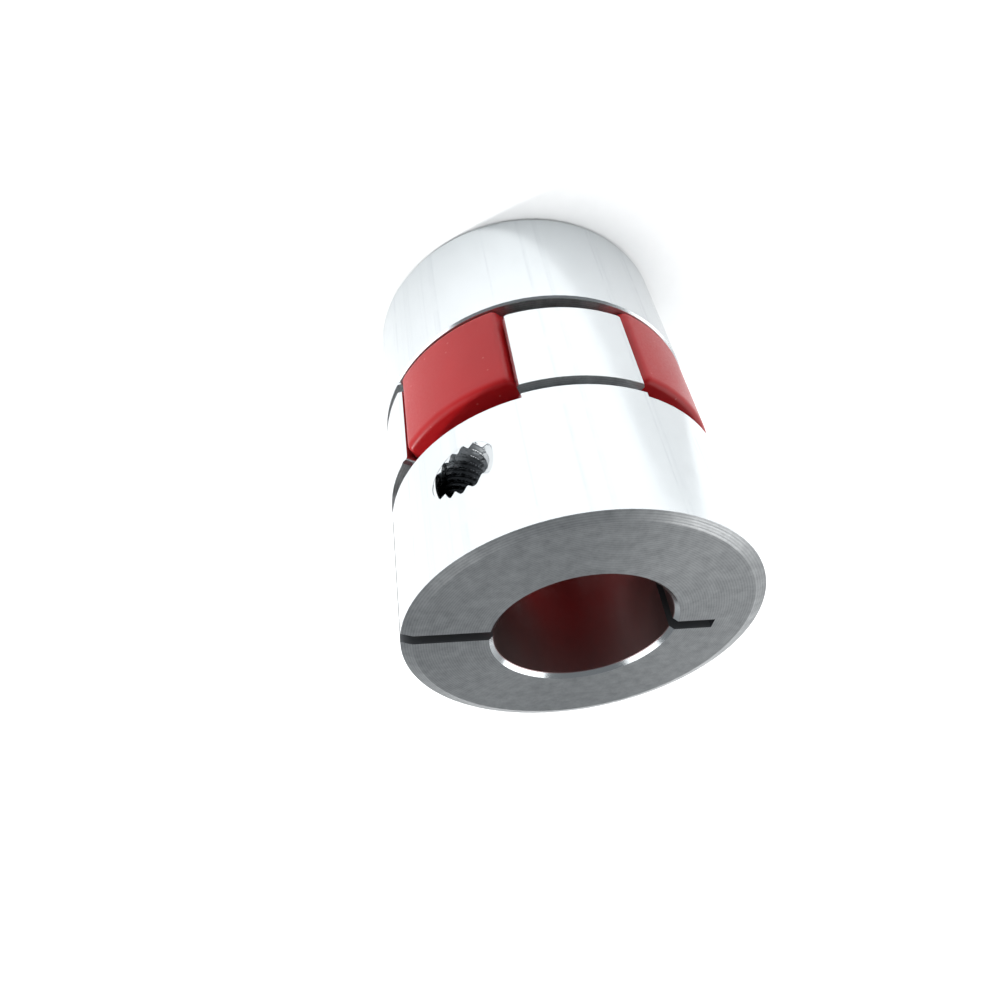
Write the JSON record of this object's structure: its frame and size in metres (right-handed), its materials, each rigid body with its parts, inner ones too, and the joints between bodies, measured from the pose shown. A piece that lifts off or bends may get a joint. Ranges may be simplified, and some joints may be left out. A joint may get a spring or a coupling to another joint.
{
  "type": "jaw coupling",
  "caption": "Clamp-type jaw coupling for joining round shafts: slit clamping hubs with interlocking jaws around a cushioning elastic spider.",
  "frame": {"origin": "centre of the lower hub's end face, on the shaft axis", "axes": "+Z along the shaft axis from the lower hub to the upper hub; the lower hub's jaws are on +X and -X, the upper hub's on +Y and -Y; the upper hub's clamp slit opens towards +X, the lower hub's towards +Y"},
  "size_m": [0.02, 0.02, 0.025],
  "materials": {
    "hub_aluminium": "fine-turned, bright",
    "spider_polyurethane": "moulded, slightly glossy red polyurethane",
    "screw_steel": "black oxide on alloy steel"
  },
  "bodies": {
    "lower_half": {"lower_hub": "hub_aluminium"},
    "lower_screw": {"lower_clamp_screw": "screw_steel"},
    "cushion": {"spider": "spider_polyurethane"},
    "upper_half": {"upper_hub": "hub_aluminium"},
    "upper_screw": {"upper_clamp_screw": "screw_steel"}
  },
  "joints": [
    {"name": "spider_wind_up", "type": "hinge", "parent": "lower_half", "child": "cushion", "pos_m": [0, 0, 0.0125], "axis": [0, 0, 1], "range_deg": [-3, 3], "stiffness_Nm_per_rad": 30, "deforming": ["spider"]},
    {"name": "pull_apart", "type": "slide", "parent": "cushion", "child": "upper_half", "axis": [0, 0, 1], "range_m": [0, 0.008]},
    {"name": "lower_screw_turn", "type": "hinge", "parent": "lower_half", "child": "lower_screw", "pos_m": [0.00535, 0.00665, 0.0053], "axis": [1, 0, 0], "range_deg": [0, 720]},
    {"name": "upper_screw_turn", "type": "hinge", "parent": "upper_half", "child": "upper_screw", "pos_m": [0.00665, 0.00535, 0.0197], "axis": [0, 1, 0], "range_deg": [0, 720]}
  ]
}
